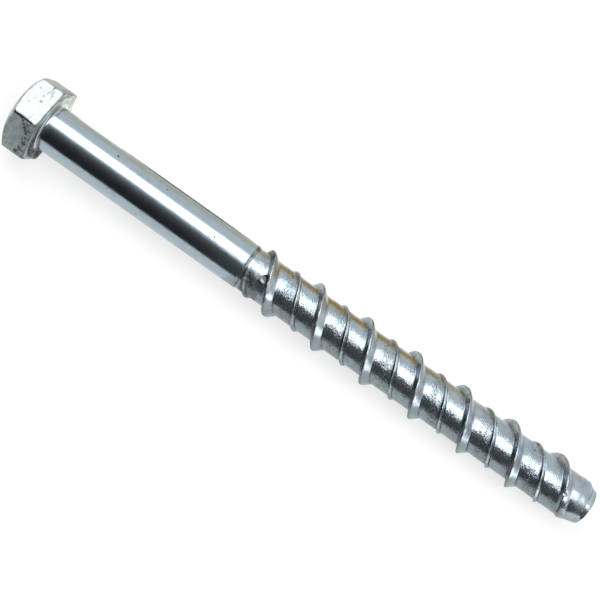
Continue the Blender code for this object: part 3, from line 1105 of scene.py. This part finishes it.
@dataclass
class ConcreteScrew:
    """The whole screw: head, shank, threads and tip in one skin.

    The marks are places along the axis in mm, degrees about it and sizes in mm; on a flat the
    degrees give way to mm across the flat. The painted shade round the burrs and in the dents
    comes in groups of marks, each with its height above the core in mm and its strength.
    """

    head: Head = field(default_factory=Head)
    shank: Shank = field(default_factory=Shank)
    thread: Thread = field(default_factory=Thread)
    tip: Tip = field(default_factory=Tip)
    sharp_degrees: float = 55.0
    shank_spots: tuple = (
        (18.4, 70.9, 0.36), (48.6, 98.2, 0.28), (32.6, 67.8, 0.26), (20.6, 154.2, 0.20),
        (29.6, 169.1, 0.24), (24.9, 81.0, 0.16), (25.4, 78.6, 0.17), (25.9, 76.4, 0.15),
        (27.1, 75.4, 0.15), (27.6, 78.4, 0.17), (28.1, 81.4, 0.15))
    shank_specks: tuple = ((38.7, 73.9, 0.24), (47.4, 104.1, 0.22))
    upper_pits: tuple = ((-5.4, -3.2, 0.5), (-3.2, -0.4, 0.6), (-5.4, 1.4, 0.5), (-3.6, -1.9, 0.4))
    lower_pits: tuple = (
        (-4.2, -5.3, 0.6), (-3.6, -4.6, 0.5), (-3.1, -3.9, 0.5), (-2.6, -3.1, 0.6), (-2.2, -2.5, 0.5),
        (-1.8, -1.8, 0.6), (-1.5, -0.6, 0.5), (-1.4, 1.2, 0.7), (-2.1, 3.0, 0.5), (-2.7, 4.4, 0.7))
    # Dark balls of painted shade round the burrs and in the dents.
    burr: tuple = (
        (0.0, 1.0, ((63.7, 103.5, 0.4), (64.1, 102.5, 0.5), (63.1, 122, 0.35), (63.5, 122.5, 0.4),
                    (63.9, 123.5, 0.45), (64.3, 124.5, 0.4))),
        (-0.1, 0.8, ((63.7, 107.5, 0.7), (64.1, 108.5, 0.8), (64.5, 110, 0.7))),
        (0.0, 0.55, ((63.3, 109, 0.45), (63.2, 113, 0.4), (63.1, 117, 0.4))),
        (0.8, 0.75, ((65.2, 117, 0.8), (65.4, 124, 0.8), (65.6, 131, 0.8), (65.8, 138, 0.8))),
        (0.4, 1.0, ((64.4, 102.5, 0.65), (64.8, 106, 0.65), (65.0, 111, 0.65))),
        (0.0, 0.85, ((60.4, 118, 0.45), (60.8, 123.5, 0.5), (61.3, 129.5, 0.5), (61.8, 135.5, 0.5),
                     (62.3, 141, 0.45), (60.0, 146, 0.35), (60.5, 152, 0.4), (60.9, 160, 0.35))),
        (1.3, 0.95, ((151.6, 110.5, 0.36),)),
        (1.0, 0.95, ((152.1, 111.5, 0.38),)),
        (0.8, 0.95, ((152.1, 128, 0.32),)),
        (0.6, 0.95, ((152.6, 112.5, 0.38), (152.6, 129.5, 0.32))),
        (0.5, 0.95, ((152.95, 134, 0.42), (153.2, 139, 0.42), (153.35, 144, 0.42))),
        (0.4, 0.95, ((153.5, 149, 0.42), (153.65, 155, 0.42), (153.8, 161, 0.42))),
        (0.3, 0.95, ((153.0, 113, 0.32),)),
    )

    def finishes(self, placement: Placement) -> list[ZincPlate]:
        """Finishes of the regions, in the order of their material indices.

        Args:
            placement: Where the screw lies, for the marks on the shank.

        Returns:
            One finish for each region.
        """
        def balls(radius: float, strength: float, marks: tuple) -> tuple:
            return tuple((placement.at(x * MM, radius, degrees), size * MM, strength)
                         for x, degrees, size in marks)

        def on_flat(strength: float, middle: float, marks: tuple) -> tuple:
            half = self.head.across_flats / 2
            turns = [(x, math.atan(across * MM / half), size) for x, across, size in marks]
            return tuple((placement.at(x * MM, half / math.cos(turn), middle + math.degrees(turn)),
                          size * MM, strength) for x, turn, size in turns)

        core, head_x = self.thread.core_radius, placement.origin.x
        # Painted shade round the burrs and in the dents.
        burr = sum((balls(core + lift * MM, strength, marks) for lift, strength, marks in self.burr), ())
        pits = on_flat(0.35, 90, self.upper_pits) + on_flat(0.75, 150, self.lower_pits)
        return [
            ZincPlate("zinc_head", colour=(0.51, 0.58, 0.59), dull_colour=(0.26, 0.31, 0.32),
                      warm_colour=(0.31, 0.32, 0.31), dark_colour=(0.04, 0.045, 0.04),
                      roughness=0.47, painted_highlight_roughness=0.4, mottle=0.55, matte_mottle=-0.1,
                      wave=0.6 * MM, grain=0.22 * MM, grain_depth=0.012 * MM, pits=0.5, spots=pits,
                      hatch=(head_x - 3.5 * MM, head_x - 1.3 * MM), speckle=(head_x - 2.8 * MM, head_x)),
            # The shank's near-white colour paints the crescent's highlight in the fillet.
            ZincPlate("zinc_shank", mottle=0.15, wave_depth=0.010 * MM, stretch=(3.0, 1.0, 1.0),
                      painted_highlight_colour=(0.97, 1.0, 1.0), painted_highlight_roughness=0.5,
                      spots=balls(self.shank.radius, 1.0, self.shank_spots),
                      specks=balls(self.shank.radius, 1.0, self.shank_specks)),
            ZincPlate("zinc_thread", roughness=0.17, matte_roughness=0.03, mottle=0.25, fleck=0.12,
                      matte_fleck=0.25, dull_colour=(0.17, 0.19, 0.20), warm_colour=(0.25, 0.20, 0.18),
                      grain=0.30 * MM, grain_detail=1.0, grain_depth=0.08 * MM, matte_depth=0.06 * MM,
                      wave_depth=0.012 * MM, stretch=(0.8, 1.5, 1.5), spots=burr, pits=0.8,
                      painted_highlight_roughness=0.33, smooth_roughness=0.05,
                      film=((0.345, 0.445, 0.48), (0.385, 0.43, 0.50))),
            ZincPlate("zinc_tip", colour=(0.41, 0.51, 0.57), roughness=0.18, mottle=0.35,
                      matte_roughness=0.02, grain_depth=0.01 * MM),
        ]

    def build(self) -> bpy.types.Object:
        """Work out the skin, lay it down and dress it.

        Returns:
            The screw's object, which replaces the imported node.
        """
        placement = Placement.from_record(self.head.height)
        surface = Surface()
        head_end = self.head.add(surface)
        shank_end = self.shank.add(surface, head_end)
        self.thread.start = self.shank.finish_end
        end_radius = float(self.thread.core(np.array(self.thread.end)))
        tip_start = self.tip.add(surface, self.thread.end, end_radius)
        self.thread.add(surface, shank_end, tip_start)
        mesh = bpy.data.meshes.new("screw_skin")
        points = placement.lay(np.concatenate(surface.points))
        mesh.from_pydata(points.tolist(), [], surface.faces)
        mesh.polygons.foreach_set("material_index", surface.regions)
        for mask, weights in surface.masks.items():
            layer = mesh.attributes.new(mask.value, "FLOAT", "POINT")
            layer.data.foreach_set("value", np.concatenate(weights).astype(np.float32))
        for finish in self.finishes(placement):
            mesh.materials.append(finish.material())
        mesh.shade_smooth()
        mesh.set_sharp_from_angle(angle=math.radians(self.sharp_degrees))
        mesh.update()
        screw = bpy.data.objects.new("screw_skin", mesh)
        bpy.context.scene.collection.objects.link(screw)
        triangles = sum(len(face) - 2 for face in surface.faces)
        log.info("screw_skin: %d points, %d triangles", len(points), triangles)
        return screw


@dataclass
class PhotoCamera:
    """Camera at the photograph's place, worked out about the screw's own axis."""

    foot: float = 74.7 * MM
    distance: float = 278.6 * MM
    lift: float = 0.14 * MM
    from_zenith_degrees: float = 21.0
    aim: float = 73.96 * MM
    aim_lift: float = 0.94 * MM
    screw_slope_degrees: float = 35.38
    lens: float = 68.47

    def build(self, placement: Placement) -> None:
        """Make the camera.

        It stands over the foot point of the axis, leaning from the zenith towards -Y, looks at the
        aim point, and is rolled so that the screw's axis falls to the right by its slope.

        Args:
            placement: Where the screw lies.
        """
        turn = placement.matrix().to_3x3()
        lean = math.radians(self.from_zenith_degrees)
        back = turn @ Vector((0.0, -math.sin(lean), math.cos(lean)))
        over = turn @ Vector((0.0, math.cos(lean), math.sin(lean)))
        axis = placement.axis
        eye = placement.origin + axis * self.foot + back * self.distance + over * self.lift
        target = placement.origin + axis * self.aim + over * self.aim_lift
        view_back = (eye - target).normalized()
        along = (axis - view_back * axis.dot(view_back)).normalized()
        above = view_back.cross(along)
        slope = math.radians(self.screw_slope_degrees)
        right = along * math.cos(slope) + above * math.sin(slope)
        up = above * math.cos(slope) - along * math.sin(slope)
        camera = bpy.data.cameras.new("camera")
        camera.lens = self.lens
        camera.sensor_width = 36.0
        camera.clip_start = 0.01
        holder = bpy.data.objects.new("camera", camera)
        holder.matrix_world = Matrix.Translation(eye) @ Matrix((right, up, view_back)).transposed().to_4x4()
        bpy.context.scene.collection.objects.link(holder)
        bpy.context.scene.camera = holder


class Seen(Enum):
    """What a studio sheet shows up in."""

    EVERYWHERE = "everywhere"
    REFLECTIONS = "reflections"


@dataclass(frozen=True)
class Softbox:
    """Level area light over the screw, turned a little about the upright.

    The spans are measured from the screw's middle where the light's middle line crosses x = 0.
    """

    name: str
    x: tuple[float, float]
    y: tuple[float, float]
    turn_degrees: float
    height: float = 0.6
    radiance: float = 3.0

    def build(self) -> None:
        """Make the light, which shines down."""
        turn = math.radians(self.turn_degrees)
        middle = sum(self.x) / 2
        length = (self.x[1] - self.x[0]) / math.cos(turn)
        width = (self.y[1] - self.y[0]) * math.cos(turn)
        light = bpy.data.lights.new(self.name, "AREA")
        light.shape = "RECTANGLE"
        light.size, light.size_y = length, width
        light.energy = self.radiance * math.pi * length * width
        holder = bpy.data.objects.new(self.name, light)
        holder.location = (middle, sum(self.y) / 2 + middle * math.tan(turn), self.height)
        holder.rotation_euler = (0.0, 0.0, turn)
        bpy.context.scene.collection.objects.link(holder)


@dataclass(frozen=True)
class Flag:
    """Upright dark sheet behind the camera, which lightens upwards with the square of the height.

    The heights are those of its two ends.
    """

    name: str
    x: tuple[float, float]
    heights: tuple[float, float]
    dark: float = 0.022
    fade: float = 1.95
    foot: float = -0.098
    lean: float = 0.01

    @property
    def corners(self) -> list[Triple]:
        """Its corners in order; it leans out by the share lean of the height."""
        (left, right), (first, last) = self.x, self.heights
        return [(left, self.foot, 0.0), (right, self.foot, 0.0),
                (right, self.foot - self.lean * last, last), (left, self.foot - self.lean * first, first)]


@dataclass(frozen=True)
class Patch:
    """Rectangle on the floor that shines with a colour, in reflections only.

    Over the length soft, its two ends brighten to the floor's glow.
    """

    name: str
    x: tuple[float, float]
    y: tuple[float, float]
    colour: Triple
    soft: float = 0.0
    lift: float = 0.4 * MM

    @property
    def corners(self) -> list[Triple]:
        """Its corners in order."""
        (left, right), (near, far) = self.x, self.y
        return [(left, near, self.lift), (right, near, self.lift),
                (right, far, self.lift), (left, far, self.lift)]


@dataclass
class Studio:
    """Plain pale floor, two softboxes overhead and cards that the metal mirrors."""

    floor_half: float = 3.0
    floor_colour: Triple = (0.30, 0.30, 0.30)
    floor_glow: float = 0.69
    boxes: tuple = (
        Softbox("left_box", (-0.65, -0.045), (-0.079, 0.347), -7.0),
        Softbox("right_box", (-0.035, 0.65), (-0.30, 0.285), -24.0),
    )
    flags: tuple = (
        Flag("left_flag", (-3.0, -0.034), (0.82, 0.82)),
        Flag("right_flag", (-0.034, 0.34), (0.305, 0.229), 0.085),
        Flag("far_flag", (0.34, 3.0), (0.229, 0.18), 0.60, 0.3),
    )
    patches: tuple = (
        Patch("near_card", (-0.021, 0.11), (-0.11, -0.004), (0.75, 0.76, 0.74)),
        Patch("facet_card", (-0.125, -0.0765), (0.004, 0.05), (0.78, 0.78, 0.67)),
        Patch("bounce_card", (-0.0755, -0.062), (0.002, 0.023), (1.6, 1.58, 1.38)),
        Patch("edge_card", (-0.060, -0.021), (0.0005, 0.0225), (0.01, 0.01, 0.007), 0.010),
    )
    glint_near: Triple = (0.10, -0.027, -0.011)
    glint_far: Triple = (0.26, -0.096, -0.027)
    glint_edge: float = -0.012
    glint_lift: float = 0.0006
    glint_height: float = 0.12
    glint_fade: tuple = (0.046, 0.070)
    glint_radiance: float = 3.7
    glint_upper: float = 0.8
    sky_seen: float = 1.0
    sky_shed: float = 0.30
    wood_colour: Triple = (0.70, 0.45, 0.12)
    paper_colour: Triple = (0.90, 0.83, 0.70)
    card_colour: Triple = (0.92, 0.94, 0.92)
    card_half: float = 0.11
    card_foot: float = 0.024
    card_far: float = 0.095
    card_height: float = 0.032
    wood_from: tuple = (-0.021, -0.013)
    wood_to: tuple = (0.030, 0.066)

    def build(self) -> None:
        """Make the floor, the lights, the cards and the sky."""
        self.floor()
        for box in self.boxes:
            box.build()
        self.glint()
        for flag in self.flags:
            self.raise_flag(flag)
        for patch in self.patches:
            self.lay_patch(patch)
        self.warm_card()
        self.sky()

    def card(self, name: str, corners: list[Triple], colour: Triple, seen: Seen) -> NodeSheet:
        """A matt sheet of one colour.

        Args:
            name: Its name.
            corners: Its four corners in order.
            colour: Its colour.
            seen: Whether everything sees it, or only reflections do.

        Returns:
            Its material's nodes.
        """
        mesh = bpy.data.meshes.new(name)
        mesh.from_pydata(corners, [], [(0, 1, 2, 3)])
        card = bpy.data.objects.new(name, mesh)
        bpy.context.scene.collection.objects.link(card)
        sheet, material = NodeSheet.new(name)
        sheet.dress(Base_Color=(*colour, 1.0), Roughness=0.9, Specular_IOR_Level=0.0)
        mesh.materials.append(material)
        everywhere = seen is Seen.EVERYWHERE
        card.visible_camera = everywhere
        card.visible_diffuse = everywhere
        card.visible_shadow = everywhere
        card.visible_transmission = everywhere
        return sheet

    def glowing(self, name: str, corners: list[Triple], colour: Triple = (1.0, 1.0, 1.0)) -> NodeSheet:
        """A card that only reflections see and that shines with a colour."""
        sheet = self.card(name, corners, (0.0, 0.0, 0.0), Seen.REFLECTIONS)
        sheet.dress(Emission_Color=(*colour, 1.0), Emission_Strength=1.0)
        return sheet

    def floor(self) -> None:
        """Wide white floor. It glows a little to the camera and in reflections, for a pale ground."""
        half = self.floor_half
        corners = [(-half, -half, 0.0), (half, -half, 0.0), (half, half, 0.0), (-half, half, 0.0)]
        sheet = self.card("floor", corners, self.floor_colour, Seen.EVERYWHERE)
        sheet.dress(Emission_Color=(1.0, 1.0, 1.0, 1.0),
                    Emission_Strength=sheet.times(sheet.seen(), self.floor_glow))

    def glint(self) -> None:
        """Bright sheet past the tip, which glints on the thread's front flank.

        Its end stands up and is duller above.
        """
        near_x, near_low, near_high = self.glint_near
        far_x, far_low, far_high = self.glint_far
        foot, edge, top = self.glint_lift, self.glint_edge, self.glint_height
        lying = [(near_x, near_low, foot), (far_x, far_low, foot),
                 (far_x, far_high, foot), (near_x, near_high, foot)]
        upright = [(far_x, far_low, foot), (far_x, edge, foot), (far_x, edge, top), (far_x, far_low, top)]
        for name, corners in (("glint_floor", lying), ("glint_wall", upright)):
            sheet = self.glowing(name, corners)
            sheet.dress(Emission_Strength=sheet.ramp(
                sheet.part("Z"), *self.glint_fade, self.glint_radiance, self.glint_upper))

    def raise_flag(self, flag: Flag) -> None:
        """Make a flag; its glow is dark + fade * height^2."""
        sheet = self.glowing(flag.name, flag.corners)
        height = sheet.part("Z")
        sheet.dress(Emission_Strength=sheet.blend(sheet.times(height, height), flag.fade, flag.dark))

    def lay_patch(self, patch: Patch) -> None:
        """Make a patch, with its soft ends if it has them."""
        sheet = self.glowing(patch.name, patch.corners, patch.colour)
        if patch.soft:
            half = (patch.x[1] - patch.x[0]) / 2
            off = sheet.math("ABSOLUTE", sheet.math("SUBTRACT", sheet.part("X"), sum(patch.x) / 2))
            sheet.dress(Emission_Strength=sheet.ramp(off, half - patch.soft, half, 1.0,
                                                     self.floor_glow / max(patch.colour)))

    def warm_card(self) -> None:
        """Sloping card behind the screw, which tints its far edge.

        It is beige behind the shank, ochre behind the threads and pale towards the tip.
        """
        half, foot, far, height = self.card_half, self.card_foot, self.card_far, self.card_height
        sheet = self.glowing("warm_card", [(-half, foot, 0.0), (half, foot, 0.0),
                                           (half, far, height), (-half, far, height)])
        along = sheet.part("X")
        colour = sheet.mix(sheet.ramp(along, *self.wood_from), self.paper_colour, self.wood_colour)
        sheet.dress(Emission_Color=sheet.mix(sheet.ramp(along, *self.wood_to), colour, self.card_colour))

    def sky(self) -> None:
        """Even white light from all sides, which shows in full and sheds a share of it."""
        world = bpy.data.worlds.new("sky")
        world.use_nodes = True
        sheet = NodeSheet(world.node_tree)
        background = sheet.nodes["Background"]
        background.inputs["Color"].default_value = (1.0, 1.0, 1.0, 1.0)
        sheet.feed(background.inputs["Strength"], sheet.blend(
            sheet.seen(), self.sky_seen - self.sky_shed, self.sky_shed))
        bpy.context.scene.world = world


def main() -> None:
    """Build the screw, the camera and the studio in order."""
    logging.basicConfig(level=logging.INFO, format="%(name)s: %(message)s")
    bpy.context.scene.view_settings.view_transform = "Standard"
    screw = ConcreteScrew()
    piece = screw.build()
    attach(piece, "root")
    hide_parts("concrete_screw")
    PhotoCamera().build(Placement.from_record(screw.head.height))
    Studio().build()


if __name__ == "__main__":
    main()
